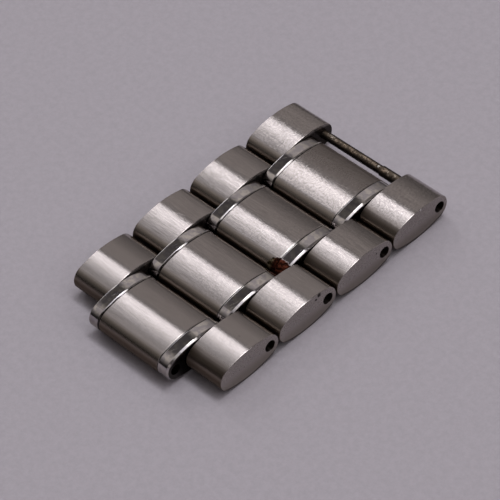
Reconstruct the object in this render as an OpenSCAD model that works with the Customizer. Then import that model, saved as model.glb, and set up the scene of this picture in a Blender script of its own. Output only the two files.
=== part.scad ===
/* [Strap] */
// Width across the two outer links
strap_w = 18; // [16:0.1:22]
// Width of the centre link
centre_w = 7.1; // [6:0.1:8.5]
// Width of one polished spacer
spacer_w = 1.2; // [0.9:0.05:1.6]

/* [Link profile] */
// Length of every link along the strap
link_l = 6.9; // [6.4:0.1:8]
// Thickness at the crown
link_t = 3.2; // [2.8:0.1:3.6]
// Radius of the crowned top and underside
crown_r = 9; // [8:0.1:12]

/* [Clearances] */
// Gap between the ends of neighbouring links
end_gap = 0.15; // [0.1:0.01:0.3]
// Running gap between an outer link and the spacers that swing beside it
side_gap = 0.08; // [0.04:0.01:0.15]
// Seam between a spacer and its centre link
seam_gap = 0.05; // [0.02:0.01:0.1]
// Clearance round the link pin, on the radius
pin_clear = 0.02; // [0.01:0.01:0.05]
// Clearance at the blind end of a cross rod
rod_end_clear = 0.1; // [0.05:0.05:0.3]

/* [Edges] */
// Bevel on the side edges of the outer and centre links
link_bevel = 0.06; // [0.03:0.01:0.12]
// Bevel on the side edges of the spacers
spacer_bevel = 0.18; // [0.08:0.01:0.25]
// Countersink where a pin hole opens in an outer link's side
mouth_bevel = 0.06; // [0.03:0.01:0.1]

/* [Link pins] */
// Distance from the pin's axis to the end of the link it passes through
pin_inset = 1; // [0.9:0.05:1.2]
// Diameter of the shank
pin_d = 0.85; // [0.7:0.01:0.9]
// Diameter of the thicker end that grips
pin_head_d = 1; // [0.94:0.01:1.1]
// Length of the thicker end
pin_head_l = 6.1; // [4:0.1:7]
// Depth of the thicker end below the right side of the strap
pin_head_recess = 0.8; // [0.2:0.1:1.5]
// Depth of the thin end below the left side of the strap
pin_tip_recess = 0.5; // [0.2:0.1:1.5]
// Bevel at both ends of the pin and at its step
pin_bevel = 0.07; // [0.03:0.01:0.12]

/* [Cross rods] */
// Diameter of the rods that hold a row together
rod_d = 1; // [0.8:0.05:1.2]
// Distance between the two rods of a row
rod_spacing = 1.9; // [1.5:0.1:2.2]
// Length of rod inside each outer link
rod_bite = 2; // [1:0.1:3]
// Bevel at the rods' ends
rod_bevel = 0.1; // [0.05:0.01:0.2]

/* [Hidden] */
ROWS = 4;
$fn = 96;

SATIN = [0.58, 0.56, 0.55];
POLISHED = [0.72, 0.72, 0.73];
PIN_STEEL = [0.42, 0.37, 0.31];
ROD_STEEL = [0.5, 0.5, 0.5];

// How far a cutting tool runs past the face it opens
overcut = 0.5;

// How much smaller the round ends are than the arc that would run smoothly into both crowns
nose_relief = 0.01;

// Profile: each crown is an arc about a centre below the middle, and a small arc closes each end. The line
// from a crown's centre through the smooth arc's centre ends at the point where the crown stops.
half_t = link_t / 2;
crown_drop = crown_r - half_t;
smooth_r = (pow(crown_drop, 2) - pow(crown_r, 2) + pow(link_l / 2, 2)) / (link_l - 2 * crown_r);
crown_l = 2 * crown_r * (link_l / 2 - smooth_r) / (crown_r - smooth_r);
nose_r = smooth_r - nose_relief;
nose_y = link_l / 2 - nose_r;

// Widths: the middle group is a spacer, the centre link and a spacer, and swings between two outer links
spacer_x = centre_w / 2 + seam_gap + spacer_w / 2;
middle_w = centre_w + 2 * (seam_gap + spacer_w);
inner_x = middle_w / 2 + side_gap;
outer_w = strap_w / 2 - inner_x;
outer_x = inner_x + outer_w / 2;

// Lengths: the row's own pin is the zero of Y, and the previous row's pin lies one pitch before it
pitch = link_l + end_gap;
outer_y = pin_inset - link_l / 2;
middle_y = link_l / 2 - pin_inset - pitch;
strap_l = ROWS * pitch + 2 * pin_inset;
function pin_y(k) = strap_l / 2 - pin_inset - (ROWS - k) * pitch;

// Holes: the shank fits the left outer link, and the thicker end fits all the others
tip_hole_r = pin_d / 2 + pin_clear;
head_hole_r = pin_head_d / 2 + pin_clear;
rod_mid_y = -pitch / 2;
rod_reach = inner_x + rod_bite;

module along_x(h, r1, r2) {
    rotate([0, 90, 0]) cylinder(h = h, r1 = r1, r2 = r2);
}

// A disc with its axis along X and both rims bevelled
module disc(r, w, bevel) {
    rotate([0, 90, 0])
        rotate_extrude()
            polygon([
                [0, -w / 2],
                [r - bevel, -w / 2],
                [r, -w / 2 + bevel],
                [r, w / 2 - bevel],
                [r - bevel, w / 2],
                [0, w / 2]
            ]);
}

// A plain link, centred: the lens that two large discs share, cut off where its crowns stop, with two
// round ends
module link(w, bevel) {
    intersection() {
        translate([0, 0, -crown_drop]) disc(crown_r, w, bevel);
        mirror([0, 0, 1]) translate([0, 0, -crown_drop]) disc(crown_r, w, bevel);
        cube([w + 2 * overcut, crown_l, link_t + 2 * overcut], center = true);
    }
    for (side = [-1, 1])
        translate([0, side * nose_y, 0]) disc(nose_r, w, bevel);
}

// The holes of the two cross rods, out to a distance either side of the centre
module rod_holes(reach) {
    for (side = [-1, 1])
        translate([-reach, rod_mid_y + side * rod_spacing / 2, 0])
            along_x(2 * reach, rod_d / 2, rod_d / 2);
}

// A through hole on the X axis in an outer link, countersunk where it meets the strap's side
module pin_hole(r) {
    translate([inner_x - overcut, 0, 0]) along_x(outer_w + 2 * overcut, r, r);
    translate([strap_w / 2 - mouth_bevel, 0, 0])
        along_x(mouth_bevel + overcut, r, r + mouth_bevel + overcut);
}

// The link that carries the pin. It stands on the +X side, and the left one is its mirror image.
module outer_link(hole_r) {
    color(SATIN) difference() {
        translate([outer_x, outer_y, 0]) link(outer_w, link_bevel);
        pin_hole(hole_r);
        rod_holes(rod_reach + rod_end_clear);
    }
}

// The pieces of the middle group share one bore at their near end and the two rod holes
module middle_holes() {
    translate([-middle_w / 2 - overcut, -pitch, 0])
        along_x(middle_w + 2 * overcut, head_hole_r, head_hole_r);
    rod_holes(middle_w / 2 + overcut);
}

module spacer(side) {
    color(POLISHED) difference() {
        translate([side * spacer_x, middle_y, 0]) link(spacer_w, spacer_bevel);
        middle_holes();
    }
}

module centre_link() {
    color(SATIN) difference() {
        translate([0, middle_y, 0]) link(centre_w, link_bevel);
        middle_holes();
    }
}

// A rod or pin end to end along X, with a bevel at each end
module bevelled_rod(from, to, r, bevel) {
    translate([from, 0, 0]) along_x(bevel, r - bevel, r);
    translate([from + bevel, 0, 0]) along_x(to - from - 2 * bevel, r, r);
    translate([to - bevel, 0, 0]) along_x(bevel, r, r - bevel);
}

module cross_rod(side) {
    color(ROD_STEEL) translate([0, rod_mid_y + side * rod_spacing / 2, 0])
        bevelled_rod(-rod_reach, rod_reach, rod_d / 2, rod_bevel);
}

// The shank runs on into the thicker end, which starts with a short cone
module link_pin() {
    head_end = strap_w / 2 - pin_head_recess;
    step_x = head_end - pin_head_l;
    step_h = (pin_head_d - pin_d) / 2;
    tip_end = pin_tip_recess - strap_w / 2;
    pin_r = pin_d / 2;
    head_r = pin_head_d / 2;
    color(PIN_STEEL) {
        translate([tip_end, 0, 0]) along_x(pin_bevel, pin_r - pin_bevel, pin_r);
        translate([tip_end + pin_bevel, 0, 0]) along_x(step_x - tip_end - pin_bevel, pin_r, pin_r);
        translate([step_x, 0, 0]) along_x(step_h, pin_r, head_r);
        translate([step_x + step_h, 0, 0]) along_x(pin_head_l - step_h - pin_bevel, head_r, head_r);
        translate([head_end - pin_bevel, 0, 0]) along_x(pin_bevel, head_r, head_r - pin_bevel);
    }
}

for (k = [1 : ROWS])
    translate([0, pin_y(k), half_t]) {
        mirror([1, 0, 0]) outer_link(tip_hole_r);
        outer_link(head_hole_r);
        spacer(-1);
        spacer(1);
        centre_link();
        cross_rod(-1);
        cross_rod(1);
        link_pin();
    }
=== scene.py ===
# %% [markdown]
# # A short length of watch bracelet
#
# Four rows of steel links lie crown up on a pale table. Each row has two satin outer links, two narrow
# polished spacers and one satin centre link. A thin push pin runs through the far ends of each row's outer
# links, and the next row swings on it. The last pin is bare, because the row that it carried has been taken
# off.
#
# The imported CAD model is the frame: it fixes every size, place and joint. This file gives the looks.

# %% The frame
import math

import bmesh
import bpy
from mathutils import Matrix, Vector


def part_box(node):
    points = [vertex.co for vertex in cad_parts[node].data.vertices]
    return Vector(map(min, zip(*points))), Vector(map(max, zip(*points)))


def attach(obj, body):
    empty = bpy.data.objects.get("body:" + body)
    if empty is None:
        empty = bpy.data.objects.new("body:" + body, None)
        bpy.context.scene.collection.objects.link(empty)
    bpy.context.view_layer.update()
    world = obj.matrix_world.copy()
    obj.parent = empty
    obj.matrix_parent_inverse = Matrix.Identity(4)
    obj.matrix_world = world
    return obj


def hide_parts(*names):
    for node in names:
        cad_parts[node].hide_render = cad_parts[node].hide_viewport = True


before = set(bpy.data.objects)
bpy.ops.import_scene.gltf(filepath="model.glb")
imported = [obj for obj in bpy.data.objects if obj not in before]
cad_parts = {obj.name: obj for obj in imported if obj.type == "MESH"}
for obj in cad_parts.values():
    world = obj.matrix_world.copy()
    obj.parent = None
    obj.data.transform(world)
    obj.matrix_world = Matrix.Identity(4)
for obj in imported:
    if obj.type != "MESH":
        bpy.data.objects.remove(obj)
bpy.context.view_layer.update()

# %% [markdown]
# ## Sizes
#
# A watch bracelet is measured in tenths of a millimetre. Blender's merge and bevel limits suit things the
# size of a hand, so each piece is modelled a thousand times too large, with one unit for a millimetre, and
# is shrunk to its real size when it is finished. The sizes are those of the CAD model.

# %% Sizes in millimetres
MM = 0.001
ROWS = 4
STRAP_W, CENTRE_W, SPACER_W = 18.0, 7.1, 1.2
LINK_L, LINK_T, CROWN_R = 6.9, 3.2, 9.0
END_GAP, SIDE_GAP, SEAM_GAP, PIN_CLEAR = 0.15, 0.08, 0.05, 0.02
PIN_INSET, PIN_D, PIN_HEAD_D, PIN_HEAD_L = 1.0, 0.85, 1.0, 6.1
PIN_HEAD_RECESS, PIN_TIP_RECESS, PIN_BEVEL = 0.8, 0.5, 0.07
ROD_D, ROD_SPACING, ROD_BITE, ROD_END_CLEAR = 1.0, 1.9, 2.0, 0.1

HALF_T = LINK_T / 2
PITCH = LINK_L + END_GAP
SPACER_X = CENTRE_W / 2 + SEAM_GAP + SPACER_W / 2
MIDDLE_W = CENTRE_W + 2 * (SEAM_GAP + SPACER_W)
INNER_X = MIDDLE_W / 2 + SIDE_GAP
OUTER_W = STRAP_W / 2 - INNER_X
OUTER_X = INNER_X + OUTER_W / 2
OUTER_Y = PIN_INSET - LINK_L / 2
MIDDLE_Y = LINK_L / 2 - PIN_INSET - PITCH
ROD_Y = -PITCH / 2
STRAP_L = ROWS * PITCH + 2 * PIN_INSET

def pin_y(row):
    """Where a row's own pin lies along the strap."""
    return STRAP_L / 2 - PIN_INSET - (ROWS - row) * PITCH

lo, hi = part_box("outer_link_right_2")
print("outer link in the CAD model, mm:", [round(1000 * v, 2) for v in (*lo, *hi)])
print("outer link from these sizes:", round(OUTER_X - OUTER_W / 2, 2), round(STRAP_W / 2, 2),
      round(pin_y(2) + OUTER_Y - LINK_L / 2, 2), round(pin_y(2) + OUTER_Y + LINK_L / 2, 2))

# %% [markdown]
# ## Camera
#
# The photograph was taken from close by with a long lens, from above the near right corner, and the camera
# was tipped a little to one side. The numbers come from fitting the links' outlines to the photograph.
# The aim point is beside the middle of the strap, so that the strap lands where it does in the picture
# without any lens shift.

# %% Camera
AZIMUTH, ELEVATION, ROLL = math.radians(48.97), math.radians(46.6), math.radians(-6.28)
DISTANCE, FOCAL_PIXELS, PICTURE, SENSOR = 261.7, 3009.7, 500, 36.0
MARK = Vector((0.0, 2.1, 1.6))
MARK_PIXEL = (269.8, 234.8)

back = Vector((math.sin(AZIMUTH) * math.cos(ELEVATION), -math.cos(AZIMUTH) * math.cos(ELEVATION),
               math.sin(ELEVATION)))
level = Vector((math.cos(AZIMUTH), math.sin(AZIMUTH), 0.0))
right = math.cos(ROLL) * level + math.sin(ROLL) * back.cross(level)
up = back.cross(right)
eye = MARK + back * DISTANCE
per_pixel = DISTANCE / FOCAL_PIXELS
off_x, off_y = MARK_PIXEL[0] - PICTURE / 2, MARK_PIXEL[1] - PICTURE / 2
aim = MARK - right * off_x * per_pixel + up * off_y * per_pixel

view_axis = (eye - aim).normalized()
side = (right - view_axis * right.dot(view_axis)).normalized()
turn = Matrix((side, view_axis.cross(side), view_axis)).transposed()
camera_data = bpy.data.cameras.new("camera")
camera_data.sensor_width = SENSOR
camera_data.lens = FOCAL_PIXELS * SENSOR / PICTURE
camera_data.clip_start, camera_data.clip_end = 0.01, 20.0
camera = bpy.data.objects.new("camera", camera_data)
bpy.context.scene.collection.objects.link(camera)
camera.matrix_world = Matrix.Translation(eye * MM) @ turn.to_4x4()
bpy.context.scene.camera = camera
bpy.context.scene.view_settings.view_transform = "Standard"
print("camera at, mm:", [round(v, 1) for v in eye], "lens, mm:", round(camera_data.lens, 1))

# %% [markdown]
# ## Node helpers
#
# Materials are built from nodes in code. The first helper feeds a node's inputs, the next adds a node, and
# the others are the few sums that every material repeats, so that each material reads like a list of steps.

# %% Nodes and sums
def feed(made, feeds):
    """Gives each input a value, or joins it to another node's output. A colour is three numbers, and gets
    the fourth one that its socket wants here."""
    for name, value in feeds.items():
        socket = made.inputs[name]
        if isinstance(value, bpy.types.NodeSocket):
            made.id_data.links.new(value, socket)
        else:
            socket.default_value = (*value, 1.0) if socket.type == "RGBA" else value
    return made

def node(tree, kind, feeds=None, **settings):
    """Adds a node, sets its properties and feeds its inputs."""
    made = tree.nodes.new("ShaderNode" + kind)
    for name, value in settings.items():
        setattr(made, name, value)
    return feed(made, feeds or {})

def maths(tree, operation, a, b=0.0, c=0.0):
    return node(tree, "Math", {0: a, 1: b, 2: c}, operation=operation).outputs[0]

def times(tree, a, *others):
    """The product of several values."""
    for value in others:
        a = maths(tree, "MULTIPLY", a, value)
    return a

def most(tree, a, *others):
    """The largest of several values."""
    for value in others:
        a = maths(tree, "MAXIMUM", a, value)
    return a

def remap(tree, value, low, high, to_low=0.0, to_high=1.0, smooth=True):
    """Takes a value from one range to another, and holds it at the ends."""
    kind = "SMOOTHSTEP" if smooth else "LINEAR"
    return node(tree, "MapRange", {"Value": value, "From Min": low, "From Max": high, "To Min": to_low,
                                   "To Max": to_high}, interpolation_type=kind).outputs[0]

def between(tree, value, start, full, fade, end):
    """Rises to 1 from the start, and falls to 0 again at the end."""
    return times(tree, remap(tree, value, start, full), remap(tree, value, fade, end, 1.0, 0.0))

# %% [markdown]
# Colours, vectors and noise have nodes of their own. A colour that was judged on a screen runs from 0 to
# 255 and isn't linear, as a shader's colours are, so one helper converts it.

# %% Colours, vectors and noise
def blend(tree, share, a, b, kind="RGBA"):
    """Mixes two colours, two numbers or two vectors."""
    first, second, out = {"RGBA": (6, 7, 2), "FLOAT": (2, 3, 0), "VECTOR": (4, 5, 1)}[kind]
    return node(tree, "Mix", {0: share, first: a, second: b}, data_type=kind).outputs[out]

def ramp(tree, value, stops):
    """A colour ramp through grey levels or colours."""
    made = node(tree, "ValToRGB", {"Fac": value})
    elements = made.color_ramp.elements
    while len(elements) < len(stops):
        elements.new(0.5)
    for element, (place, colour) in zip(elements, stops):
        element.position = place
        element.color = (*colour, 1.0) if isinstance(colour, tuple) else (colour, colour, colour, 1.0)
    return made.outputs[0]

def grey(r, g, b):
    """A colour as a screen gives it, 0 to 255, made linear for the shader."""
    return tuple(v / 12.92 if v <= 0.04045 else ((v + 0.055) / 1.055) ** 2.4
                 for v in (r / 255, g / 255, b / 255))

def parts(tree, vector):
    """The three numbers of a vector."""
    return node(tree, "SeparateXYZ", {0: vector}).outputs

def noise(tree, vector, scale, detail, roughness=0.5):
    return node(tree, "TexNoise", {"Vector": vector, "Scale": scale, "Detail": detail,
                                   "Roughness": roughness}).outputs[0]

print("a grey of 128 on a screen is", round(grey(128, 128, 128)[0], 3), "to a shader")

# %% [markdown]
# ## Light
#
# Metal shows what stands round it. In the photograph each satin link has one bright band that starts
# sharply at the crown and fades towards the near end, and its far half is dark. So the bright light is a
# wide softbox with a sharp edge, in line with the pins, and the rest of the room is dim.
#
# The room could be built from area lamps and dark cards. Here it is painted on the world instead, because
# then the sharp edge falls at the same tilt on every link. The tilt of the surface that would show each
# direction to the camera is found first, and a ramp gives the brightness for each tilt.

# %% Tilts
LOW_TILT, HIGH_TILT, LEAST_SUM = -0.7, 1.3, 0.05
world = bpy.data.worlds.new("soft_studio")
bpy.context.scene.world = world
world.use_nodes = True
sky = world.node_tree
sky.nodes.clear()
across, along, height = parts(sky, node(sky, "TexCoord").outputs["Generated"])
tilt = maths(sky, "DIVIDE", maths(sky, "SUBTRACT", -back.y, along),
             most(sky, maths(sky, "ADD", height, back.z), LEAST_SUM))
tilt_place = remap(sky, tilt, LOW_TILT, HIGH_TILT, smooth=False)

def by_tilt(*stops):
    """Brightness by tilt: each stop is an angle in degrees, towards the near end, and a brightness. A stop
    that lies past an end of the ramp is held there."""
    return ramp(sky, tilt_place, [((math.tan(math.radians(angle)) - LOW_TILT) / (HIGH_TILT - LOW_TILT), light)
                                  for angle, light in stops])

print("tilts from", *(round(math.degrees(math.atan(end)), 1) for end in (LOW_TILT, HIGH_TILT)), "degrees")

# %% [markdown]
# The softbox comes up within about a degree of tilt and then fades slowly. It is a little stronger on the
# left, and dies away at the far left. The polished spacers are mirrors, and in the photograph they are dark
# where the satin links beside them are bright. So the softbox has a gap where a mirror that lies flat
# would look, and a ramp of its own says how bright it is inside the gap.

# %% Room, softbox and gap
SOFTBOX_LEVEL = 2.45
room = by_tilt((-35, 0.15), (-22, 0.118), (-8, 0.178), (-1, 0.168), (14, 0.135), (22, 0.14), (32, 0.12),
               (45, 0.085), (52.5, 0.02))
softbox = by_tilt((1.9, 0.0), (3.0, 1.0), (6, 0.89), (10, 0.68), (13, 0.47), (17, 0.20), (22, 0.08),
                  (36, 0.0))
gap = between(sky, across, -0.68, -0.60, -0.44, -0.36)
hollow = by_tilt((-20, 0.12), (-12, 0.36), (-8, 0.54), (-1, 0.58), (2, 0.085), (16.5, 0.115), (20.5, 0.55),
                 (32, 0.50), (42, 0.22), (55, 0.03))
share = times(sky, remap(sky, across, -1.0, -0.68, 0.15, 1.0), remap(sky, across, -0.4, 0.1, 1.42, 1.2))
open_sky = maths(sky, "SUBTRACT", 1.0, most(sky, gap, remap(sky, across, 0.45, 0.6)))
glow = times(sky, times(sky, softbox, open_sky), times(sky, share, SOFTBOX_LEVEL))
print("a flat mirror shows what stands", round(-back.x, 2), "across, which is in the gap")

# %% [markdown]
# Rims and bevels that lean to the right look past the softbox. A window in line with it stands where the
# spacers' bevels look, and a small strong lamp overhead draws thin bright lines along the softened rims. A
# pale wall beyond the strap and a low card at the near right keep the remaining sides from going black.

# %% Window, lamp, wall and card
WINDOW_LEVEL, LAMP_LEVEL, WALL_LEVEL, CARD_LEVEL = 2.3, 10.0, 0.35, 0.35
window = by_tilt((1.0, 0.0), (3.0, 1.0), (7, 0.95), (12, 0.60), (17, 0.30), (23, 0.0))
to_right = between(sky, across, 0.60, 0.67, 0.80, 0.88)
glow = maths(sky, "MULTIPLY_ADD", times(sky, window, to_right), WINDOW_LEVEL, glow)
lamp = by_tilt((2.5, 0.0), (3.5, 1.0), (8.0, 1.0), (9.5, 0.0))
overhead = between(sky, across, -0.12, -0.04, 0.12, 0.20)
glow = maths(sky, "MULTIPLY_ADD", times(sky, lamp, overhead), LAMP_LEVEL, glow)
wall_width = times(sky, remap(sky, across, -0.25, 0.1), remap(sky, across, 0.38, 0.55, 1.0, 0.15))
room = maths(sky, "MULTIPLY_ADD", times(sky, remap(sky, along, 0.56, 0.8), wall_width), WALL_LEVEL, room)
card = times(sky, remap(sky, along, -0.4, -0.6), remap(sky, across, 0.2, 0.5))
card_height = between(sky, height, 0.02, 0.08, 0.35, 0.5)
room = maths(sky, "MULTIPLY_ADD", times(sky, card, card_height), CARD_LEVEL, room)
print("levels of window, lamp, wall and card:", WINDOW_LEVEL, LAMP_LEVEL, WALL_LEVEL, CARD_LEVEL)

# %% [markdown]
# The lamps' light is a little cooler than the room's, so each direction is tinted by the share of its light
# that comes from them. The camera itself sees none of this, but a plain backdrop of the table's colour.

# %% The whole world
WARM, COOL, BACKDROP = (1.0, 0.93, 0.905), (1.0, 1.0, 1.035), grey(166, 159, 166)
LEAST_LIGHT = 0.001
dimmed = times(sky, room, maths(sky, "SUBTRACT", 1.0, gap))
dimmed = maths(sky, "MULTIPLY_ADD", hollow, gap, dimmed)
total = maths(sky, "ADD", glow, dimmed)
cool_share = maths(sky, "DIVIDE", glow, most(sky, total, LEAST_LIGHT))
warm, cool = (node(sky, "CombineColor", dict(enumerate(tint))).outputs[0] for tint in (WARM, COOL))
studio = node(sky, "Background", {"Color": blend(sky, cool_share, warm, cool), "Strength": total})
backdrop = node(sky, "Background", {"Color": BACKDROP, "Strength": 1.0})
seen = node(sky, "LightPath").outputs["Is Camera Ray"]
both = node(sky, "MixShader", {0: seen, 1: studio.outputs[0], 2: backdrop.outputs[0]})
node(sky, "OutputWorld", {"Surface": both.outputs[0]})
print("the world has", len(sky.nodes), "nodes")

# %% [markdown]
# ## Table
#
# The strap lies on a smooth pale grey tabletop with a faint lilac cast. A plain plane is enough, with a
# very fine mottle in its colour so that it doesn't look like paper cut out of the picture.

# %% Table
def material(name, metallic):
    """A new material. Returns it, its tree, its shader, and the Object coordinates that patterns follow."""
    made = bpy.data.materials.new(name)
    made.use_nodes = True
    bsdf = feed(made.node_tree.nodes["Principled BSDF"], {"Metallic": metallic})
    return made, made.node_tree, bsdf, node(made.node_tree, "TexCoord").outputs["Object"]

def deselect():
    """An operator acts on everything selected, and the CAD nodes are selected after loading."""
    bpy.ops.object.select_all(action="DESELECT")

TABLE_DARK, TABLE_LIGHT = grey(176, 169.5, 176.5), grey(186, 179.5, 186.5)
deselect()
bpy.ops.mesh.primitive_plane_add(size=4.0, location=(0, 0, 0))
table = bpy.context.object
table.name = "table"
table_paint, tree, shader, spot = material("table_paint", 0.0)
mottle = remap(tree, noise(tree, spot, 1500.0, 5.0, 0.85), 0.3, 0.7)
feed(shader, {"Base Color": blend(tree, mottle, TABLE_DARK, TABLE_LIGHT), "Roughness": 0.62,
              "Specular IOR Level": 0.25})
table.data.materials.append(table_paint)
print("the table is", round(table.dimensions.x, 2), "m wide")

# %% [markdown]
# ## Shared effects
#
# Grain, dirt, pits and rust show on several of the steels. Each is a node group with named inputs, built
# once and placed in each material with its own numbers. They all work in millimetres.

# %% Groups
def group(name, numbers, outputs):
    """An empty node group that takes a place and some numbers. Returns it, what it is given, and its end."""
    made = bpy.data.node_groups.new(name, "ShaderNodeTree")
    made.interface.new_socket(name="Vector", in_out="INPUT", socket_type="NodeSocketVector")
    for label, value in numbers.items():
        socket = made.interface.new_socket(name=label, in_out="INPUT", socket_type="NodeSocketFloat")
        socket.default_value = value
    for label in outputs:
        kind = "Color" if label == "Colour" else "Float"
        made.interface.new_socket(name=label, in_out="OUTPUT", socket_type="NodeSocket" + kind)
    return made, made.nodes.new("NodeGroupInput").outputs, made.nodes.new("NodeGroupOutput")

def use(tree, shared, **feeds):
    """Places a node group in a material, and returns what it puts out."""
    return node(tree, "Group", feeds, node_tree=shared).outputs

def vectors(tree, operation, a, b=(0.0, 0.0, 0.0)):
    """Sums on whole vectors. A length or a distance comes out as a number."""
    made = node(tree, "VectorMath", {0: a, 1: b}, operation=operation)
    return made.outputs["Value" if operation in ("LENGTH", "DISTANCE") else "Vector"]

def in_mm(tree, metres):
    return node(tree, "VectorMath", {0: metres, 3: 1000.0}, operation="SCALE").outputs[0]

# %% [markdown]
# Brushed steel is covered with fine parallel scratches. They are too fine to model, so the first group
# stretches a noise pattern along the strap and gives out a shade and a height.

# %% Brushed grain
SEED_STEPS = (1.0, 1.7, 0.6)

def streaks(tree, vector, across_mm, along_mm, detail, seed):
    """Noise stretched into streaks: so many to a millimetre across, so many to a millimetre along."""
    scale = node(tree, "CombineXYZ", {0: across_mm, 1: along_mm, 2: along_mm}).outputs[0]
    stretched = vectors(tree, "MULTIPLY", vector, scale)
    moved = vectors(tree, "ADD", stretched, [seed * step for step in SEED_STEPS])
    return noise(tree, moved, 1.0, detail, 0.6)

grain, given, out = group("brushed_grain", {"Lines": 9.0, "Reach": 1.6}, ["Shade", "Height", "Wander"])
place = in_mm(grain, given["Vector"])
short = maths(grain, "DIVIDE", 1.0, given["Reach"])
fine = streaks(grain, place, given["Lines"], short, 3.0, 3.1)
wide = streaks(grain, place, times(grain, given["Lines"], 0.22), times(grain, short, 0.35), 2.0, 8.4)
both = maths(grain, "ADD", times(grain, fine, 0.9), times(grain, wide, 0.1))
feed(out, {"Shade": remap(grain, both, 0.33, 0.67), "Height": fine, "Wander": wide})
print("brushed grain:", len(grain.nodes), "nodes")

# %% [markdown]
# Dirt lies in ragged patches, which a cloudy noise gives when it is cut off at a level: the lower the
# level, the more dirt. Pits are small and round, so they are the hearts of some Voronoi cells. A stray
# scratch is a long thin line, found where stretched noise passes its middle value, and broken into lengths
# by a second noise.

# %% Dirt, pits and scratches
grime, given, out = group("grime", {"Patch": 1.0, "Amount": 0.4}, ["Mask", "Height"])
per_mm = maths(grime, "DIVIDE", 1.0, given["Patch"])
cloud = noise(grime, in_mm(grime, given["Vector"]), per_mm, 6.0, 0.65)
edge = maths(grime, "SUBTRACT", 0.8, times(grime, given["Amount"], 0.6))
feed(out, {"Mask": remap(grime, cloud, edge, maths(grime, "ADD", edge, 0.12)), "Height": cloud})

pits, given, out = group("pits", {"Spacing": 1.0, "Size": 0.08}, ["Mask"])
per_mm = maths(pits, "DIVIDE", 1.0, given["Spacing"])
cells = node(pits, "TexVoronoi", {"Vector": in_mm(pits, given["Vector"]), "Scale": per_mm}).outputs
away = times(pits, cells["Distance"], given["Spacing"])
hole = remap(pits, away, times(pits, given["Size"], 0.6), given["Size"], 1.0, 0.0)
chosen = maths(pits, "GREATER_THAN", parts(pits, cells["Color"])[0], 0.55)
feed(out, {"Mask": times(pits, hole, chosen)})

def turned(tree, vector, angle):
    """Turns a pattern about the upright axis."""
    return node(tree, "VectorRotate", {"Vector": vector, "Angle": angle, "Axis": (0, 0, 1)},
                rotation_type="AXIS_ANGLE").outputs[0]

scratches, given, out = group("scratches", {"Turn": 0.4, "Wide": 0.012}, ["Mask"])
place = in_mm(scratches, given["Vector"])
field = streaks(scratches, turned(scratches, place, given["Turn"]), 1.6, 0.12, 0.0, 5.0)
off_line = maths(scratches, "ABSOLUTE", maths(scratches, "SUBTRACT", field, 0.5))
line = remap(scratches, off_line, 0.0, given["Wide"], 1.0, 0.0)
broken = remap(scratches, noise(scratches, place, 0.7, 1.0), 0.52, 0.6)
feed(out, {"Mask": times(scratches, line, broken)})
print("grime, pits and scratches:", len(grime.nodes), len(pits.nodes), len(scratches.nodes), "nodes")

# %% [markdown]
# Dark paint also follows the shape: painted shade fills the pin holes, and dirt and painted shade fill the
# seams between the links to just below their crowns. The first group measures how far a point is from the
# nearest pin's axis. The pins lie one pitch apart, so the nearest is found by rounding. The second group
# measures how deep a point lies below the upper crown's arc, and how high above the lower one's.

# %% Round the bores and below the crown
def from_axis(tree, a, b):
    """How far two offsets take a point from an axis."""
    return maths(tree, "SQRT", maths(tree, "ADD", times(tree, a, a), times(tree, b, b)))

bore_ring, given, out = group("bore_ring", {"Inner": 0.55, "Outer": 0.7}, ["Mask"])
_, lengthwise, upwards = parts(bore_ring, in_mm(bore_ring, given["Vector"]))
rows_off = maths(bore_ring, "ROUND", maths(bore_ring, "DIVIDE", lengthwise, PITCH))
beside = maths(bore_ring, "SUBTRACT", lengthwise, times(bore_ring, rows_off, PITCH))
away = from_axis(bore_ring, beside, maths(bore_ring, "SUBTRACT", upwards, HALF_T))
feed(out, {"Mask": remap(bore_ring, away, given["Inner"], given["Outer"], 1.0, 0.0)})

side_depth, given, out = group("side_depth", {"Middle": 0.0}, ["Depth", "Rise"])
_, lengthwise, upwards = parts(side_depth, in_mm(side_depth, given["Vector"]))
lengthwise = maths(side_depth, "SUBTRACT", lengthwise, given["Middle"])
for label, centre in (("Depth", LINK_T - CROWN_R), ("Rise", CROWN_R)):
    away = from_axis(side_depth, lengthwise, maths(side_depth, "SUBTRACT", upwards, centre))
    feed(out, {label: maths(side_depth, "SUBTRACT", CROWN_R, away)})
print("the last pin lies at", round(pin_y(ROWS) / PITCH, 6), "pitches")

# %% [markdown]
# One lump of rust sits on the right spacer of the third row. It is a ball in a known place, a little longer
# across the strap, with flaky noise added to its distance so that its edge is ragged. At its left edge it
# is olive, and elsewhere red-brown.

# %% A crust of rust
RUST_AT, RUST_R = (3.66, -0.66, 2.2), 1.18
RUST_SHIFT, RUST_SHAPE, RAGGED = (0.3, 0.0, 0.0), (0.76, 1.1, 1.1), 0.7
rust, given, out = group("rust_crust", {}, ["Mask", "Colour", "Height"])
place = in_mm(rust, given["Vector"])
off_rust = vectors(rust, "SUBTRACT", place, RUST_AT)
shaped = vectors(rust, "MULTIPLY", vectors(rust, "SUBTRACT", off_rust, RUST_SHIFT), RUST_SHAPE)
flakes = noise(rust, place, 3.2, 5.0, 0.62)
away = maths(rust, "MULTIPLY_ADD", maths(rust, "SUBTRACT", flakes, 0.5), RAGGED,
             vectors(rust, "LENGTH", shaped))
red = ramp(rust, flakes, [(0.42, (0.018, 0.007, 0.005)), (0.5, (0.085, 0.024, 0.013)),
                          (0.60, (0.19, 0.056, 0.034))])
olive = ramp(rust, flakes, [(0.42, (0.03, 0.022, 0.011)), (0.5, (0.12, 0.092, 0.05)),
                            (0.58, (0.36, 0.30, 0.20))])
redness = remap(rust, parts(rust, off_rust)[0], -0.75, -0.40)
feed(out, {"Mask": remap(rust, away, RUST_R * 0.82, RUST_R * 0.95, 1.0, 0.0),
           "Colour": blend(rust, redness, olive, red), "Height": flakes})
print("rust within", RUST_R, "mm of", RUST_AT)

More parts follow.
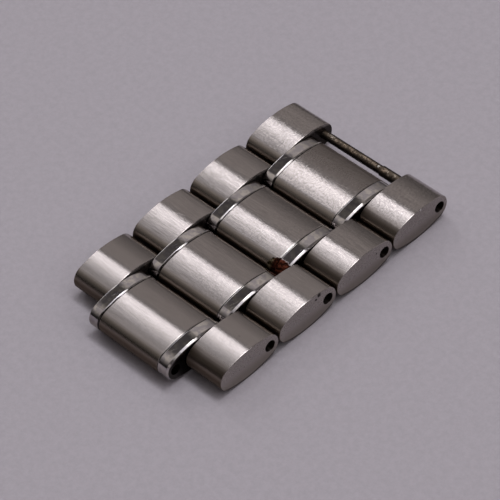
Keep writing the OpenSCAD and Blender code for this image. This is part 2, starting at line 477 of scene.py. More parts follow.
# %% [markdown]
# A few pits and bright nicks in the photograph are plain enough to find their places. Each is a small ball
# with a soft edge, and one group holds all the balls of a kind.

# %% Marks at known places
def spots(name, places):
    """A group that is 1 inside small balls, each given as a centre and a radius in millimetres."""
    made, given, out = group(name, {}, ["Mask"])
    place = in_mm(made, given["Vector"])
    total = 0.0
    for centre, radius in places:
        away = vectors(made, "DISTANCE", place, centre)
        total = most(made, remap(made, away, 0.5 * radius, radius, 1.0, 0.0), total)
    feed(out, {"Mask": total})
    return made

pit_marks = spots("pit_marks", [((9.0, -0.98, 2.86), 0.27), ((9.0, -1.38, 2.59), 0.17),
                                ((9.0, 6.1, 2.2), 0.10)])
# The nicks are painted glints: bright colour that stands in for light caught on them. The last ball paints a
# glint on the bare pin.
nicks_and_glints = spots("nicks_and_glints", [((8.95, 11.78, 3.10), 0.12), ((-3.3, 11.3, 3.12), 0.10),
                                  ((-2.2, 9.2, 3.2), 0.05), ((1.85, 14.03, 2.06), 0.16)])
print("shared groups:", sorted(g.name for g in bpy.data.node_groups))

# %% [markdown]
# ## Leaning crowns
#
# Every crown was finished by hand, so no two catch the light in quite the same place. Turning the meshes
# would open the seams. Instead each copy stores a lean and a bend, and its material tips the normals by
# them. The flat end faces all get the same small lean.

# %% Leaning crowns
END_LEAN, BEND_HOLD = math.radians(2.9), 0.5

def stored(tree, name):
    """An amount that is stored on each copy of a piece."""
    return node(tree, "Attribute", attribute_name=name).outputs["Fac"]

def to_world(tree, vector):
    return node(tree, "VectorTransform", {0: vector}, convert_from="OBJECT", convert_to="WORLD").outputs[0]

def tipped(tree, normal, push):
    """A normal pushed to one side, in the piece's own directions."""
    return vectors(tree, "NORMALIZE", vectors(tree, "ADD", normal, to_world(tree, push)))

def lean(tree, normal, length_way, flat_end=0.0, far=BEND_HOLD):
    """Tips the normal along the strap by the lean stored on the piece, and more where its crown bends more."""
    held = node(tree, "Clamp", {"Value": length_way, "Min": -BEND_HOLD, "Max": far}).outputs[0]
    amount = maths(tree, "SUBTRACT", stored(tree, "lean"), times(tree, stored(tree, "bend"), held))
    amount = blend(tree, flat_end, amount, END_LEAN, "FLOAT")
    return tipped(tree, normal, node(tree, "CombineXYZ", {1: times(tree, amount, -1.0)}).outputs[0])

def bump(tree, height, strength, microns, over=None, invert=False):
    """Relief for a shader, so many micrometres deep, on top of another normal where one is given."""
    feeds = {"Strength": strength, "Distance": microns * 1e-6, "Height": height}
    if over is not None:
        feeds["Normal"] = over
    return node(tree, "Bump", feeds, invert=invert).outputs[0]

# %% [markdown]
# ## Satin steel
#
# The outer and centre links are brushed along the strap, round the crown. Years on a wrist have crossed
# that grain with scratches the other way, and the more a row is worn, the more uneven its pattern. The far
# halves of the crowns lie in the dark, where the pattern shows less, and the flat end faces are plainer.

# %% Satin steel: grain
satin_steel, tree, shader, spot = material("satin_steel", 1.0)
side_way, length_way, _ = parts(tree, node(tree, "TexCoord").outputs["Normal"])
sideways = maths(tree, "ABSOLUTE", side_way)
flat_end = maths(tree, "GREATER_THAN", sideways, 0.9)
wear = stored(tree, "wear")
brushed = use(tree, grain, Vector=spot, Lines=9.0, Reach=0.22)
crossed = use(tree, grain, Vector=turned(tree, spot, math.pi / 2), Lines=8.0, Reach=1.6)
crossing = times(tree, remap(tree, noise(tree, spot, 180.0, 1.0), 0.42, 0.6, 0.9, 0.5),
                 remap(tree, wear, 0.4, 1.0, 1.0, 0.5))
shade = blend(tree, crossing, brushed["Shade"], crossed["Shade"], "FLOAT")
calmer = times(tree, remap(tree, length_way, -0.06, 0.06), remap(tree, wear, 0.5, 0.8, 0.4, 0.1))
contrast = times(tree, remap(tree, wear, 0.0, 1.0, 0.2, 1.7, smooth=False),
                 maths(tree, "SUBTRACT", 1.0, calmer))
shade = maths(tree, "MULTIPLY_ADD", maths(tree, "SUBTRACT", shade, 0.5), contrast, 0.5)
shade = blend(tree, times(tree, flat_end, 0.75), shade, 0.5, "FLOAT")
print("satin steel's grain takes", len(tree.nodes), "nodes")

# %% [markdown]
# Over the bare metal come colours in layers, as they came to the strap: smears of skin grease, a yellow
# cast low on the near round ends and bare metal on the rims. Last comes a painted highlight along the right
# rim of some centre links, where it meets the spacer. A helper lays one colour over another where a mask says.

# %% Satin steel: the metal
STEEL_DARK, STEEL_LIGHT = (0.350, 0.316, 0.306), (0.468, 0.424, 0.412)
SMEAR, YELLOW_CAST = (0.20, 0.160, 0.135), (0.36, 0.312, 0.262)
BARE_RIM, PAINTED_RIM_HIGHLIGHT = (0.42, 0.38, 0.365), (0.85, 0.82, 0.79)

def coats(tree, base, *layers):
    """Lays colours over a base, one after the other, each where its mask is 1."""
    for mask, colour in layers:
        base = blend(tree, mask, base, colour)
    return base

side_place, _, height = parts(tree, in_mm(tree, spot))
off_centre = maths(tree, "ABSOLUTE", side_place)
dirt = use(tree, grime, Vector=spot, Patch=2.5, Amount=0.28)
edge_worn = times(tree, remap(tree, sideways, 0.2, 0.5), maths(tree, "SUBTRACT", 1.0, flat_end))
# Painted highlight: a bright line along the right rim of some centre links, next to the spacer.
rubbed = times(tree, stored(tree, "rubbed"), remap(tree, side_place, 3.32, 3.54),
               remap(tree, length_way, 0.0, -0.03))
metal = coats(tree, blend(tree, shade, STEEL_DARK, STEEL_LIGHT), (times(tree, dirt["Mask"], 0.2), SMEAR),
              (times(tree, remap(tree, length_way, -0.33, -0.62), 0.75), YELLOW_CAST),
              (edge_worn, BARE_RIM), (rubbed, PAINTED_RIM_HIGHLIGHT))
print("right rim of a centre link:", CENTRE_W / 2, "mm from the middle")

# %% [markdown]
# The near round ends darken where the next link shelters them, with a brown film of dried sweat and dirt and
# painted shade over it. Each copy stores its own amount of painted shade for its near round end, which darkens
# the right outer links' near corners. Every side also gets darker towards the table. The last centre link is
# darker on its far half, which lies open since the next row was taken off. The lowest part of a near end that
# is tucked under another row gets a darker painted shade still.

# %% Satin steel: the film
BROWN_FILM_AND_SHADE, TUCKED_SHADE = (0.085, 0.058, 0.036), (0.040, 0.028, 0.018)
LOW_FROM, LOW_FULL = 1.4, 0.4
# Painted shade with a brown film on the near round ends, below where the next link reaches.
sheltered_shade_and_film = times(tree, remap(tree, length_way, 0.0, -0.35), remap(tree, height, 2.7, 1.8))
nook = remap(tree, off_centre, 4.8, 6.4, 1.0, 0.72)
# Painted shade on the near round end, by each copy's amount, a little less towards the outer side.
heavy_shade = times(tree, remap(tree, length_way, -0.21, -0.29), stored(tree, "soil"), nook)
# The last centre link is darker on its far half.
far_dark = times(tree, stored(tree, "far_soil"), remap(tree, length_way, 0.0, 0.5, 0.15, 1.0, smooth=False))
# Darker towards the table on every side.
low_darkening = remap(tree, height, LOW_FROM, LOW_FULL, 0.0, 0.6)
browning = most(tree, times(tree, 0.9, sheltered_shade_and_film), heavy_shade, far_dark, low_darkening)
browning = times(tree, browning, blend(tree, flat_end, 1.0, 0.6, "FLOAT"))
# The flat end faces darken towards the table.
browning = most(tree, browning, times(tree, flat_end, remap(tree, height, 1.8, 0.6, 0.24, 0.55)))
# Painted shade low on the near round ends that are tucked under another row.
buried = times(tree, stored(tree, "buried"), remap(tree, length_way, -0.76, -0.87))
browned_and_shaded = coats(tree, metal, (browning, BROWN_FILM_AND_SHADE), (times(tree, buried, 0.65), TUCKED_SHADE))
print("the low film starts", LOW_FROM, "mm above the table")

# %% [markdown]
# Dirt and painted shade lie almost black in the seams, painted shade fills the pin holes, the foot of each end
# face is painted almost black, and dirt fills the pits. Which seam a flat side belongs to is told by how far it
# lies from the middle of the strap. Bright nicks, painted as glints, and the crust of rust come last.

# %% Satin steel: packed dirt and painted shade
CENTRE_SIDE, SEAM_SIDE, OPEN_SIDE = 4.0, 5.5, 7.5
PACKED_DIRT_AND_SHADE, PIT_DIRT, NICK_GLINT = (0.014, 0.010, 0.008), (0.05, 0.045, 0.04), (0.9, 0.9, 0.86)
bore = use(tree, bore_ring, Vector=spot, Inner=0.55, Outer=0.57)
# Painted shade inside the pin holes of the outer links.
bore_shade = times(tree, bore["Mask"], maths(tree, "GREATER_THAN", off_centre, OPEN_SIDE))
seam = use(tree, side_depth, Vector=spot, Middle=stored(tree, "middle"))
# Dirt and painted shade on the flat sides in the seams, below the crown.
seam_shade_and_dirt = blend(tree, maths(tree, "LESS_THAN", off_centre, CENTRE_SIDE),
                  remap(tree, seam["Depth"], 0.1, 0.45, 0.35, 0.95),
                  remap(tree, seam["Depth"], 0.15, 0.4, 0.0, 0.95), "FLOAT")
seam_shade_and_dirt = times(tree, times(tree, flat_end, maths(tree, "LESS_THAN", off_centre, SEAM_SIDE)), seam_shade_and_dirt)
# The foot of each end face is painted almost black.
foot_dark = times(tree, flat_end, remap(tree, seam["Rise"], 0.06, 0.30, 0.85, 0.0))
in_pits = times(tree, use(tree, pit_marks, Vector=spot)["Mask"], 0.95)
blackened = most(tree, seam_shade_and_dirt, times(tree, bore_shade, 0.95), foot_dark, in_pits)
pitted = times(tree, use(tree, pits, Vector=spot, Spacing=1.5, Size=0.07)["Mask"], 0.8)
# Painted glints on the nicks.
nick_glints = use(tree, nicks_and_glints, Vector=spot)["Mask"]
crust = use(tree, rust, Vector=spot)
colour = coats(tree, browned_and_shaded, (blackened, PACKED_DIRT_AND_SHADE), (pitted, PIT_DIRT), (nick_glints, NICK_GLINT),
               (crust["Mask"], crust["Colour"]))
print("flat sides at, mm:", CENTRE_W / 2, round(INNER_X, 2), STRAP_W / 2)

# %% [markdown]
# Seen from any side, brushed steel spreads light across its scratches and keeps it sharp along them. The
# anisotropy of the metal shader does this, with its tangent across the strap. On the flat end faces, where
# that direction points out of the surface, the tangent is upright instead. Film, dirt and rust are duller.
# The relief is a few thousandths of a millimetre deep, except for the flakes of rust.

# %% Satin steel: gloss and relief
rough = maths(tree, "MULTIPLY_ADD", brushed["Shade"], 0.03, 0.205)
rough = maths(tree, "MULTIPLY_ADD", browning, 0.25, rough)
rough = blend(tree, edge_worn, rough, 0.22, "FLOAT")
countersunk = times(tree, edge_worn, use(tree, bore_ring, Vector=spot, Inner=0.6, Outer=0.62)["Mask"])
rough = blend(tree, most(tree, countersunk, bore_shade), rough, 0.8, "FLOAT")
tangent = blend(tree, flat_end, to_world(tree, (1, 0, 0)), to_world(tree, (0, 0, 1)), "VECTOR")
marks = use(tree, scratches, Vector=spot, Turn=1.35, Wide=0.008)
relief = bump(tree, brushed["Height"], remap(tree, wear, 0.0, 1.0, 0.25, 1.0, smooth=False), 6)
relief = bump(tree, brushed["Wander"], 0.25, 10, relief)
relief = bump(tree, marks["Mask"], 0.15, 5, relief, invert=True)
relief = bump(tree, crust["Height"], crust["Mask"], 250, relief)
feed(shader, {"Base Color": colour, "Roughness": blend(tree, crust["Mask"], rough, 0.7, "FLOAT"),
              "Anisotropic": 1.0, "Tangent": tangent, "Normal": lean(tree, relief, length_way, flat_end)})
print("satin steel has", len(tree.nodes), "nodes")

# %% [markdown]
# ## Polished steel
#
# The spacers were polished before the strap was put together. They mirror the room, but the mirror has
# gone a little patchy with tarnish and smears, and a brown film with painted shade darkens the near round
# ends low down.

# %% Polished steel: the metal
TARNISHED, MIRROR, MIRROR_SMEAR = (0.40, 0.375, 0.39), (0.54, 0.505, 0.48), (0.36, 0.33, 0.315)
MIRROR_FILM_AND_SHADE = (0.10, 0.072, 0.055)
polished_steel, tree, shader, spot = material("polished_steel", 1.0)
side_way, length_way, _ = parts(tree, node(tree, "TexCoord").outputs["Normal"])
sideways = maths(tree, "ABSOLUTE", side_way)
side_place, _, height = parts(tree, in_mm(tree, spot))
dirt = use(tree, grime, Vector=spot, Patch=1.2, Amount=0.30)
bright = blend(tree, remap(tree, noise(tree, spot, 1700.0, 3.0), 0.38, 0.62), TARNISHED, MIRROR)
# Painted shade with a brown film, low on the near round ends.
browning = times(tree, remap(tree, length_way, -0.5, -0.9), remap(tree, height, 2.4, 1.6, 0.0, 0.6))
browned_and_shaded = coats(tree, bright, (times(tree, dirt["Mask"], 0.6), MIRROR_SMEAR), (browning, MIRROR_FILM_AND_SHADE))
print("polished steel so far has", len(tree.nodes), "nodes")

# %% [markdown]
# Dirt and painted shade fill the seams beside a spacer. On the left spacers dirt also creeps up the right
# bevel, where it is packed against the centre link. Its upper edge is crumbly, so a fine noise is added to the
# depth before it is cut off, and each copy stores how high it is packed.

# %% Polished steel: packed dirt and painted shade
SEAM_DIRT_AND_SHADE, PACK_HEIGHT, CRUMBS = (0.016, 0.012, 0.010), 0.12, 0.12
seam = use(tree, side_depth, Vector=spot, Middle=stored(tree, "middle"))
# Dirt and painted shade on the flat sides in the seams, below the crown.
seam_shade_and_dirt = times(tree, remap(tree, sideways, 0.9, 0.98), remap(tree, seam["Depth"], 0.2, 0.5, 0.35, 0.96))
packed = maths(tree, "ADD", stored(tree, "packed"), remap(tree, length_way, -0.35, -0.5))
packed = times(tree, packed, remap(tree, length_way, -0.035, -0.075))
fill = maths(tree, "MULTIPLY_ADD", packed, PACK_HEIGHT, seam["Depth"])
crumbs = maths(tree, "SUBTRACT", noise(tree, spot, 2600.0, 3.0), 0.5)
fill = maths(tree, "MULTIPLY_ADD", crumbs, CRUMBS, fill)
inner_bevel = times(tree, between(tree, side_way, 0.3, 0.5, 0.85, 0.95),
                    maths(tree, "LESS_THAN", side_place, 0.0))
seam_shade_and_dirt = most(tree, seam_shade_and_dirt, times(tree, inner_bevel, remap(tree, fill, 0.07, 0.10, 0.0, 0.93)))
crust = use(tree, rust, Vector=spot)
colour = coats(tree, browned_and_shaded, (seam_shade_and_dirt, SEAM_DIRT_AND_SHADE), (crust["Mask"], crust["Colour"]))
print("packed full, the dirt stands", PACK_HEIGHT, "mm higher")

# %% [markdown]
# A worn mirror has hairline scratches, hazy patches and a slight waviness. A polishing wheel also rolls off
# a face towards its rim, so on some copies the normals turn away near one side, by up to seven degrees.

# %% Polished steel: gloss and relief
ROLL_OFF = math.radians(7)
marks = use(tree, scratches, Vector=spot, Turn=0.5, Wide=0.01)
hazy = use(tree, grime, Vector=spot, Patch=0.35, Amount=0.5)
worn = maths(tree, "MULTIPLY_ADD", marks["Mask"], 0.12, 0.06)
worn = maths(tree, "MULTIPLY_ADD", dirt["Mask"], 0.06, worn)
worn = maths(tree, "MULTIPLY_ADD", hazy["Mask"], 0.06, worn)
off_middle = maths(tree, "SUBTRACT", maths(tree, "ABSOLUTE", side_place), SPACER_X)
off_middle = times(tree, off_middle, maths(tree, "SIGN", side_place))
roll_off = times(tree, remap(tree, off_middle, -0.2, -0.48, 0.0, -ROLL_OFF), stored(tree, "rolled"),
                 remap(tree, sideways, 0.05, 0.1, 1.0, 0.0))
relief = bump(tree, noise(tree, spot, 1300.0, 2.0), 1.0, 12)
relief = tipped(tree, relief, node(tree, "CombineXYZ", {0: roll_off}).outputs[0])
relief = bump(tree, marks["Mask"], 0.3, 3, relief, invert=True)
relief = bump(tree, crust["Height"], crust["Mask"], 250, relief)
feed(shader, {"Base Color": colour, "Roughness": blend(tree, crust["Mask"], worn, 0.7, "FLOAT"),
              "Normal": lean(tree, relief, length_way, far=0.0)})
print("polished steel has", len(tree.nodes), "nodes")

# %% [markdown]
# ## Pin and rod steel
#
# The push pins are drawn steel wire, worn brown where sweat and dirt have dried on them. The bare one shows
# pale metal between the crusts, and its underside, far side and ends get painted shade. One short stretch is
# rubbed smooth and catches the light, and a painted glint sits on it too. The cross rods that hold each row
# together are plain wire, and only glints of them show in the seams.

# %% Pin and rod steel
WIRE, WIRE_BROWN, SPECK = (1.0, 0.89, 0.78), (0.46, 0.365, 0.28), (0.075, 0.052, 0.036)
CRUSTED, GLINT, SHADED = (0.045, 0.030, 0.018), (0.95, 0.92, 0.86), (0.012, 0.009, 0.007)
ROD_BRIGHT, ROD_DULL = (0.30, 0.29, 0.28), (0.14, 0.12, 0.10)
RUBBED_AT = 1.85
pin_steel, tree, shader, spot = material("pin_steel", 1.0)
crust = use(tree, grime, Vector=spot, Patch=0.40, Amount=0.66)
browning = use(tree, grime, Vector=spot, Patch=1.6, Amount=0.75)
specks = use(tree, grime, Vector=spot, Patch=0.16, Amount=0.55)
end_way, length_way, _ = parts(tree, node(tree, "TexCoord").outputs["Normal"])
# Painted shade on the pin's underside, far side and ends.
shaded = most(tree, remap(tree, maths(tree, "ABSOLUTE", end_way), 0.6, 0.9),
              remap(tree, length_way, -0.38, -0.9, 0.0, 0.95), remap(tree, length_way, 0.0, 0.42, 0.0, 0.9))
# The glint ball paints a glint, and the painted shade goes on last.
colour = coats(tree, blend(tree, browning["Mask"], WIRE, WIRE_BROWN), (times(tree, specks["Mask"], 0.8), SPECK),
               (times(tree, crust["Mask"], 0.85), CRUSTED), (use(tree, nicks_and_glints, Vector=spot)["Mask"], GLINT),
               (shaded, SHADED))
off_rubbed = maths(tree, "ABSOLUTE", maths(tree, "SUBTRACT", parts(tree, in_mm(tree, spot))[0], RUBBED_AT))
dull = maths(tree, "MULTIPLY_ADD", crust["Mask"], 0.25, 0.22)
feed(shader, {"Base Color": colour, "Metallic": maths(tree, "MULTIPLY_ADD", crust["Mask"], -0.4, 1.0),
              "Roughness": blend(tree, remap(tree, off_rubbed, 0.1, 0.3, 1.0, 0.0), dull, 0.06, "FLOAT"),
              "Normal": bump(tree, crust["Height"], 0.6, 30)})

rod_steel, tree, shader, spot = material("rod_steel", 1.0)
drawn = use(tree, grime, Vector=spot, Patch=0.8, Amount=0.4)
feed(shader, {"Base Color": blend(tree, drawn["Mask"], ROD_BRIGHT, ROD_DULL),
              "Roughness": maths(tree, "MULTIPLY_ADD", drawn["Mask"], 0.2, 0.32)})
print("the glint on the bare pin is", RUBBED_AT, "mm to the right of the middle")

# %% [markdown]
# ## Selecting
#
# Blender's operators act on what is selected, as they do by hand. So the pieces are selected in code, and
# their corners, edges or faces are picked by their place or by the way they face.

# %% Selecting
def select_only(piece):
    deselect()
    piece.select_set(True)
    bpy.context.view_layer.objects.active = piece

def pick(piece, kind, test):
    """In edit mode, selects the vertices, edges or faces that pass a test on their place or normal."""
    bpy.ops.mesh.select_mode(type={"verts": "VERT", "edges": "EDGE", "faces": "FACE"}[kind])
    bpy.ops.mesh.select_all(action="DESELECT")
    mesh = bmesh.from_edit_mesh(piece.data)
    chosen = [part for part in getattr(mesh, kind) if test(part)]
    for part in chosen:
        part.select_set(True)
    mesh.select_flush_mode()
    bmesh.update_edit_mesh(piece.data)
    return len(chosen)

def middle(part):
    """The mean of an edge's or a face's corners."""
    return sum((corner.co for corner in part.verts), Vector()) / len(part.verts)

# %% [markdown]
# ## A plain link
#
# Every link has the same side profile: a crown above and below, and a small round end at each side. It
# could be a cylinder squashed and cut, but the arcs would no longer be true. Instead one edge, as long as
# the link is wide, is swept round four arcs with Spin, and the two open sides are filled.

# %% A plain link
MERGE = 0.001
crown_drop = CROWN_R - HALF_T
nose_r = (crown_drop ** 2 - CROWN_R ** 2 + (LINK_L / 2) ** 2) / (LINK_L - 2 * CROWN_R)
nose_y = LINK_L / 2 - nose_r
crown_angle = math.atan2(nose_y, crown_drop)
join_y, join_z = CROWN_R * math.sin(crown_angle), CROWN_R * math.cos(crown_angle) - crown_drop
print("crown spans", round(2 * math.degrees(crown_angle), 1), "degrees, round ends have radius",
      round(nose_r, 3))

def spun_link(name, width, crown_steps=40, nose_steps=32):
    """One edge swept round the four arcs, and both sides filled. Centred, one unit to a millimetre."""
    deselect()
    bpy.ops.mesh.primitive_plane_add(size=width, location=(0, 0, 0))
    piece = bpy.context.object
    piece.name = name
    bpy.ops.object.mode_set(mode="EDIT")
    pick(piece, "verts", lambda corner: corner.co.y < 0)
    bpy.ops.mesh.delete(type="VERT")
    bpy.ops.mesh.select_all(action="SELECT")
    bpy.ops.transform.translate(value=(0, join_y - width / 2, join_z))
    crown, nose = (-2 * crown_angle, crown_steps), (2 * crown_angle - math.pi, nose_steps)
    for centre, (angle, steps) in (((0, 0, -crown_drop), crown), ((0, -nose_y, 0), nose),
                                   ((0, 0, crown_drop), crown), ((0, nose_y, 0), nose)):
        bpy.ops.mesh.spin(steps=steps, angle=angle, center=centre, axis=(1, 0, 0))
    bpy.ops.mesh.select_all(action="SELECT")
    bpy.ops.mesh.remove_doubles(threshold=MERGE)
    for hand in (-1, 1):
        pick(piece, "edges", lambda edge: edge.is_boundary and hand * middle(edge).x > 0)
        bpy.ops.mesh.edge_face_add()
    bpy.ops.mesh.select_all(action="SELECT")
    bpy.ops.mesh.normals_make_consistent(inside=False)
    bpy.ops.object.mode_set(mode="OBJECT")
    return piece

# %% [markdown]
# ## Bevels, holes and smoothing
#
# No real rim is quite sharp, and a bevel there catches the light. Holes are cut with round bars, all of a
# piece's bars at once, by an exact Boolean, because a link's bore and its crown nearly touch. Rounded faces
# are then shaded smoothly, with normals weighted by the size of each face, so that the flat ones stay flat.

# %% Bevels
def rim(edge):
    """Is this an edge between a flat side and the rounded face?"""
    return len(edge.link_faces) == 2 and any(abs(face.normal.x) > 0.99 for face in edge.link_faces) \
        and any(abs(face.normal.x) < 0.3 for face in edge.link_faces)

def bevel(piece, test, width, segments):
    """Bevels the edges that pass a test, and returns how many they were."""
    bpy.context.view_layer.objects.active = piece
    bpy.ops.object.mode_set(mode="EDIT")
    found = pick(piece, "edges", test)
    bpy.ops.mesh.bevel(offset_type="OFFSET", offset=width, segments=segments, profile=0.5, affect="EDGES")
    bpy.ops.object.mode_set(mode="OBJECT")
    return found

def bevel_rims(piece, width, segments, hands=(-1, 1)):
    """Bevels the rims of the flat sides: the left side's for -1, the right side's for 1."""
    return bevel(piece, lambda edge: rim(edge) and any(hand * middle(edge).x > 0 for hand in hands),
                 width, segments)

# %% Holes
def draw_out(length, swell, centre):
    """In edit mode, draws the selected end face of a bar out along X, and widens it about its centre."""
    bpy.ops.mesh.extrude_region_move(TRANSFORM_OT_translate={"value": (length, 0, 0)})
    bpy.ops.transform.resize(value=(1, swell, swell), center_override=centre)

def cutter_rod(x_from, x_to, y, radius, flare=0.0):
    """A round bar along X that will cut a hole. With a flare, its far end runs on for that length and opens
    out, which countersinks the mouth."""
    deselect()
    bpy.ops.mesh.primitive_cylinder_add(vertices=64, radius=radius, depth=abs(x_to - x_from),
                                        location=((x_from + x_to) / 2, y, 0), rotation=(0, math.pi / 2, 0))
    bar = bpy.context.object
    bpy.ops.object.transform_apply(location=True, rotation=True)
    if flare:
        way = 1 if x_to > x_from else -1
        bpy.ops.object.mode_set(mode="EDIT")
        pick(bar, "faces", lambda face: way * face.normal.x > 0.9)
        draw_out(way * flare, (radius + flare) / radius, (x_to, y, 0))
        bpy.ops.object.mode_set(mode="OBJECT")
    return bar

def cut(piece, bars):
    """Cuts all the bars out of the piece in one go, and throws them away."""
    deselect()
    for bar in bars:
        bar.select_set(True)
    bpy.context.view_layer.objects.active = bars[0]
    bpy.ops.object.join()
    tool = bpy.context.object
    select_only(piece)
    hole = piece.modifiers.new("holes", "BOOLEAN")
    hole.operation, hole.solver, hole.object = "DIFFERENCE", "EXACT", tool
    bpy.ops.object.modifier_apply(modifier=hole.name)
    bpy.data.objects.remove(tool, do_unlink=True)

# %% Smoothing
def smooth(piece, degrees=40):
    """Rounded faces shade smoothly and flat ones stay flat, whatever their size."""
    select_only(piece)
    bpy.ops.object.shade_smooth_by_angle(angle=math.radians(degrees))
    even = piece.modifiers.new("even", "WEIGHTED_NORMAL")
    even.mode, even.weight, even.keep_sharp = "FACE_AREA", 100, True
    bpy.ops.object.modifier_apply(modifier=even.name)

# %% [markdown]
# ## Copies
#
# What repeats is modelled once, as a pattern, and copied. Each copy has its own mesh at its own place, and
# stores on it the amounts that set it apart from the others: its lean, bend and middle, its marks of use, and
# how much painted shade and painted highlight it gets. Materials read them as attributes, so one satin steel
# serves all the satin links.

# %% Copies
def shift(piece, x, y):
    """Moves a pattern's mesh, and leaves its origin where it was."""
    select_only(piece)
    piece.location = (x, y, 0)
    bpy.ops.object.transform_apply(location=True)

def place_copy(pattern, name, body, slot, material, *nodes, y=0.0, middle=0.0, lean=0.0, bend=0.0, **marks):
    """Copies a finished pattern to its row, at its real size, and hands it to the frame.

    The lean, in degrees, is how far the hand that finished the piece tipped its crown towards the near end,
    and the bend is how much rounder than the rest it left the crown. The marks are amounts from 0 to 1."""
    select_only(pattern)
    bpy.ops.object.duplicate(linked=False)
    piece = bpy.context.object
    piece.name = piece.data.name = name
    piece.location = (0, y * MM, HALF_T * MM)
    piece.scale = (MM, MM, MM)
    bpy.ops.object.transform_apply(location=True, rotation=True, scale=True)
    piece.data.materials.clear()
    piece.data.materials.append(material)
    for label, value in {"lean": math.radians(lean), "bend": bend, "middle": y + middle, **marks}.items():
        layer = piece.data.attributes.new(label, "FLOAT", "POINT")
        layer.data.foreach_set("value", [value] * len(piece.data.vertices))
    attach(piece, body)
    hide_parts(*nodes)

def put_away(pattern):
    """The pattern has served, and isn't part of the scene."""
    bpy.data.objects.remove(pattern, do_unlink=True)

# %% [markdown]
# ## Outer links
#
# The outer links are the widest pieces after the centre ones. Their far ends carry the push pin in a
# countersunk hole, and the two cross rods end inside them. The right hole fits the pin's thicker end, and
# the left one its shank. The sharp edges are only just broken, by a tiny rounded bevel that catches the
# light as a thin line. The lists give the rows in turn, from the near end to the far end.

# %% Outer links
EDGE, MOUTH, OVERCUT = 0.06, 0.06, 0.5
OUTER_LEAN = {"left": (-2.0, 1.6, 0.5, 2.6), "right": (1.4, 2.4, -1.4, -1.3)}
OUTER_BEND = {"left": (0.20, -0.08, 0.0, -0.12), "right": (0.14, -0.14, 0.13, 0.11)}
ROW_WEAR = (0.15, 0.5, 0.7, 1.0)
# How much painted shade each outer link gets on its near round end.
OUTER_NEAR_SHADE = {"left": (0.0, 0.0, 0.0, 0.0), "right": (0.78, 0.45, 0.7, 0.66)}
for hand, word, hole_r in ((-1, "left", PIN_D / 2 + PIN_CLEAR), (1, "right", PIN_HEAD_D / 2 + PIN_CLEAR)):
    pattern = spun_link("outer_pattern", OUTER_W)
    rims = bevel_rims(pattern, EDGE, 3)
    shift(pattern, hand * OUTER_X, OUTER_Y)
    inside, mouth_x = hand * (INNER_X - OVERCUT), hand * (STRAP_W / 2 - MOUTH)
    bars = [cutter_rod(inside, mouth_x, 0, hole_r, MOUTH + OVERCUT)]
    rod_end = hand * (INNER_X + ROD_BITE + ROD_END_CLEAR)
    for end in (-1, 1):
        bars.append(cutter_rod(inside, rod_end, ROD_Y + end * ROD_SPACING / 2, ROD_D / 2))
    cut(pattern, bars)
    smooth(pattern)
    for row in range(1, ROWS + 1):
        place_copy(pattern, f"satin_outer_{word}_{row}", f"row_{row}", "satin_steel", satin_steel,
                   f"outer_link_{word}_{row}", y=pin_y(row), middle=OUTER_Y,
                   lean=OUTER_LEAN[word][row - 1], bend=OUTER_BEND[word][row - 1],
                   soil=OUTER_NEAR_SHADE[word][row - 1], wear=ROW_WEAR[row - 1], buried=float(row > 1))
    print(word, "outer link:", rims, "rim edges bevelled,", len(pattern.data.polygons), "faces")
    put_away(pattern)

# %% [markdown]
# ## Centre links
#
# The middle group has the same profile, set a little towards the near end so that its near bore lands on
# the pin of the row before. The centre link is satin. One bore and the two cross rods' holes run through it.

# %% Centre links
def middle_bars(x_from, x_to):
    """The near bore and the two cross rod holes, through everything from one side to the other."""
    bars = [cutter_rod(x_from, x_to, -PITCH, PIN_HEAD_D / 2 + PIN_CLEAR)]
    for end in (-1, 1):
        bars.append(cutter_rod(x_from, x_to, ROD_Y + end * ROD_SPACING / 2, ROD_D / 2))
    return bars

CENTRE_LEAN = (0.4, 0.7, -2.6, 0.6)
CENTRE_BEND = (0.09, 0.02, 0.11, -0.22)
# How strongly each row's centre link gets the painted rim highlight.
RIM_HIGHLIGHT = (0.1, 0.12, 0.6, 0.0)
# How much darker each row's centre link is on its far half.
FAR_DARKENING = (0.0, 0.0, 0.0, 0.6)
pattern = spun_link("centre_pattern", CENTRE_W)
bevel_rims(pattern, EDGE, 3)
shift(pattern, 0, MIDDLE_Y)
cut(pattern, middle_bars(-CENTRE_W / 2 - OVERCUT, CENTRE_W / 2 + OVERCUT))
smooth(pattern)
for row in range(1, ROWS + 1):
    place_copy(pattern, f"satin_centre_{row}", f"row_{row}", "satin_steel", satin_steel,
               f"centre_link_{row}", y=pin_y(row), middle=MIDDLE_Y, lean=CENTRE_LEAN[row - 1],
               bend=CENTRE_BEND[row - 1], wear=ROW_WEAR[row - 1], buried=float(row > 1),
               rubbed=RIM_HIGHLIGHT[row - 1], far_soil=FAR_DARKENING[row - 1])
print("centre link:", len(pattern.data.polygons), "faces")
put_away(pattern)

# %% [markdown]
# ## Spacers
#
# The spacers share the centre link's bore and rod holes. They have a plain bevel on the right rim, wide
# enough to see as a bright stripe, and a narrower rounded one on the left. Polishing has softened the edges
# of the wide bevel, so they are bevelled once more, very finely.

# %% Spacers
RIGHT_BEVEL, LEFT_BEVEL, SOFTENING = 0.15, 0.08, 0.03
SPACER_LEAN = {"left": (1.0, 1.85, -1.6, -0.4), "right": (1.6, 1.7, -1.2, 0.6)}
SPACER_BEND = {"left": (0.03, -0.13, 0.0, -0.21), "right": (0.06, -0.05, 0.0, -0.16)}
SPACER_PACKED = {"left": (0.35, 0.85, 0.05, -0.15), "right": (0.0, 0.0, 0.0, 0.0)}
SPACER_ROLLED = {"left": (0.0, 0.0, 0.2, 0.2), "right": (0.15, 0.15, 0.2, 0.0)}

def bevel_edge(edge):
    """Is this an edge between the wide bevel and one of its neighbours?"""
    if len(edge.link_faces) != 2:
        return False
    slants = [0.5 < abs(face.normal.x) < 0.9 for face in edge.link_faces]
    return slants[0] != slants[1]

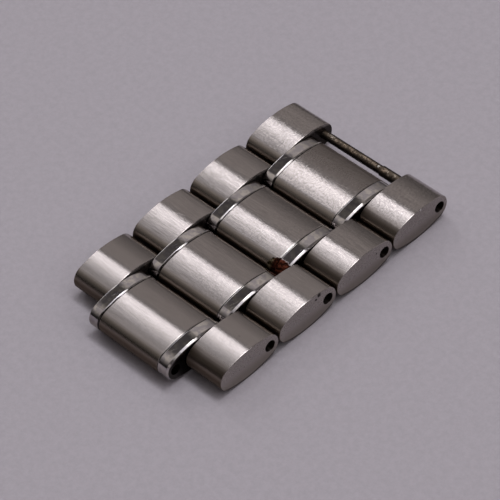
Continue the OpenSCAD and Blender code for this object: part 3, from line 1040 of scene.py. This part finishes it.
for hand, word in ((-1, "left"), (1, "right")):
    pattern = spun_link("spacer_pattern", SPACER_W)
    bevel_rims(pattern, RIGHT_BEVEL, 1, (1,))
    bevel_rims(pattern, LEFT_BEVEL, 2, (-1,))
    softened = bevel(pattern, bevel_edge, SOFTENING, 2)
    shift(pattern, hand * SPACER_X, MIDDLE_Y)
    reach_x = SPACER_W / 2 + OVERCUT
    cut(pattern, middle_bars(hand * SPACER_X - reach_x, hand * SPACER_X + reach_x))
    smooth(pattern)
    for row in range(1, ROWS + 1):
        place_copy(pattern, f"polished_spacer_{word}_{row}", f"row_{row}", "polished_steel", polished_steel,
                   f"spacer_{word}_{row}", y=pin_y(row), middle=MIDDLE_Y,
                   lean=SPACER_LEAN[word][row - 1], bend=SPACER_BEND[word][row - 1],
                   rolled=SPACER_ROLLED[word][row - 1], packed=SPACER_PACKED[word][row - 1])
    print(word, "spacer:", softened, "bevel edges softened,", len(pattern.data.polygons), "faces")
    put_away(pattern)

# %% [markdown]
# ## Push pins
#
# A push pin is a wire with one thicker end that grips the links. It starts as a cylinder as thick as the
# shank. One end face is drawn out and widened over the short cone of the step, and then drawn out along the
# thicker end. Both ends are bevelled so that the pin starts easily in its hole.

# %% Push pins
tip_x, head_x = PIN_TIP_RECESS - STRAP_W / 2, STRAP_W / 2 - PIN_HEAD_RECESS
step_x = head_x - PIN_HEAD_L
step_h = (PIN_HEAD_D - PIN_D) / 2
pattern = cutter_rod(tip_x, step_x, 0, PIN_D / 2)
pattern.name = "pin_pattern"
bpy.ops.object.mode_set(mode="EDIT")
pick(pattern, "faces", lambda face: face.normal.x > 0.9)
draw_out(step_h, PIN_HEAD_D / PIN_D, (step_x + step_h, 0, 0))
bpy.ops.mesh.extrude_region_move(TRANSFORM_OT_translate={"value": (PIN_HEAD_L - step_h, 0, 0)})
bpy.ops.object.mode_set(mode="OBJECT")
bevel(pattern, lambda edge: any(abs(face.normal.x) > 0.99 for face in edge.link_faces), PIN_BEVEL, 2)
smooth(pattern)
for row in range(1, ROWS + 1):
    place_copy(pattern, f"push_pin_{row}", f"pin_{row}", "pin_steel", pin_steel, f"link_pin_{row}",
               y=pin_y(row))
print("pin from", tip_x, "to", head_x, "with its step at", round(step_x, 2))
put_away(pattern)

# %% [markdown]
# ## Cross rods
#
# The cross rods are right as they are in the CAD model: plain round rods, hidden but for glints in the
# seams. They only get their steel.

# %% Cross rods
rods = [rod for name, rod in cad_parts.items() if name.startswith("cross_rod")]
for rod in rods:
    rod.data.materials.clear()
    rod.data.materials.append(rod_steel)
print(len(rods), "cross rods")
